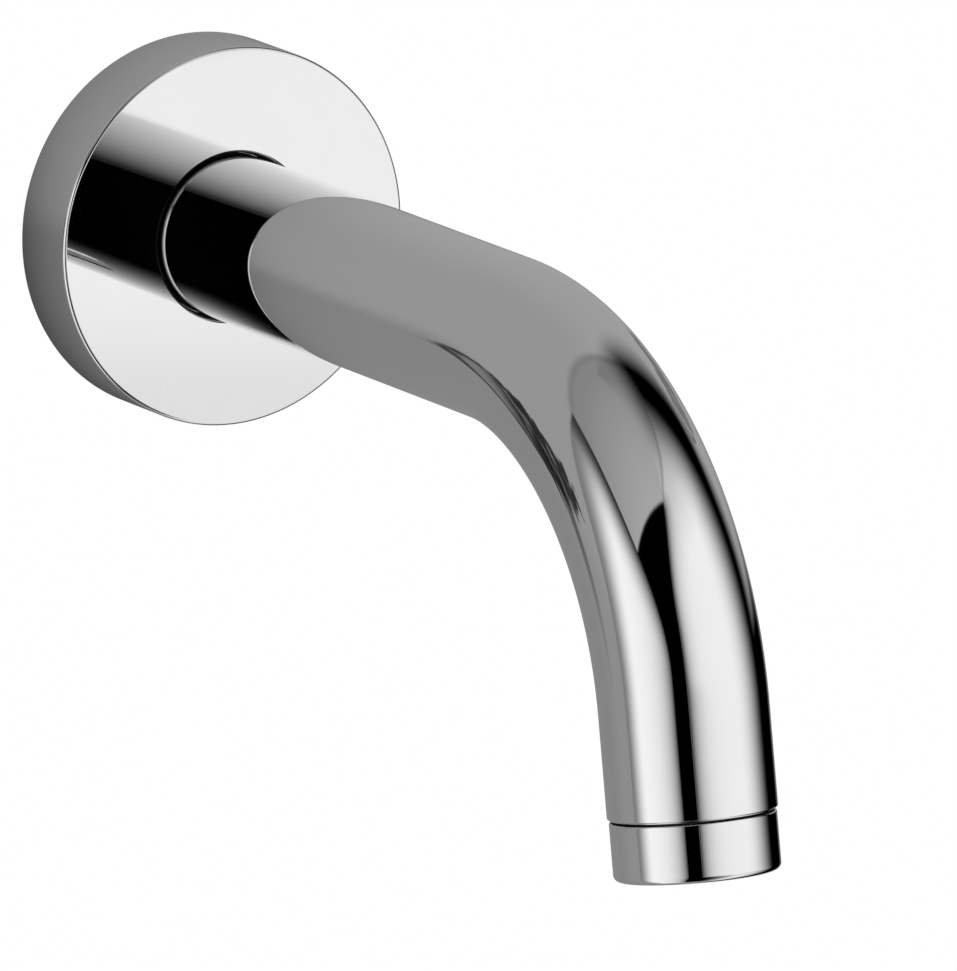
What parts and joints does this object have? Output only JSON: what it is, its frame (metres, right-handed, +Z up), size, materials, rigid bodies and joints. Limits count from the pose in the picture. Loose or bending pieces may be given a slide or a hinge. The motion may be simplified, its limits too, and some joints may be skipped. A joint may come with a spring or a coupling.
{
  "type": "wall-mounted basin spout",
  "caption": "Wall-mounted chrome basin spout: round tube bent down to a screwed-in aerator, with a thick round wall escutcheon and a threaded brass inlet nipple.",
  "frame": {"origin": "where the spout's axis meets the finished wall, in the plane of the escutcheon's back rim", "axes": "+Z up, the spout reaches out of the wall along -Y, the inlet thread goes into the wall along +Y, and the spout is symmetric about the YZ plane"},
  "size_m": [0.065, 0.201, 0.1119],
  "materials": {
    "chrome": "mirror-polished chrome plating on brass",
    "bare_brass": "turned brass, unplated",
    "black_rubber": "moulded sealing rubber",
    "stainless": "stainless steel, as drawn",
    "grey_plastic": "moulded acetal, satin",
    "white_plastic": "moulded acetal, satin"
  },
  "bodies": {
    "root": {"spout_tube": "chrome", "wall_escutcheon": "chrome", "escutcheon_o_ring": "black_rubber", "wall_seal": "black_rubber", "wall_nipple": "bare_brass", "nipple_o_ring_front": "black_rubber", "nipple_o_ring_back": "black_rubber", "inlet_washer": "black_rubber", "fixing_screw": "stainless", "outlet_seat_ring": "bare_brass", "aerator_housing": "chrome", "aerator_washer": "black_rubber", "aerator_cage": "grey_plastic", "aerator_strainer": "stainless", "flow_regulator_body": "grey_plastic", "flow_regulator_ring": "black_rubber", "jet_plate": "white_plastic", "stream_screen_lower": "stainless", "stream_screen_upper": "stainless", "honeycomb_outlet": "white_plastic"}
  },
  "joints": []
}
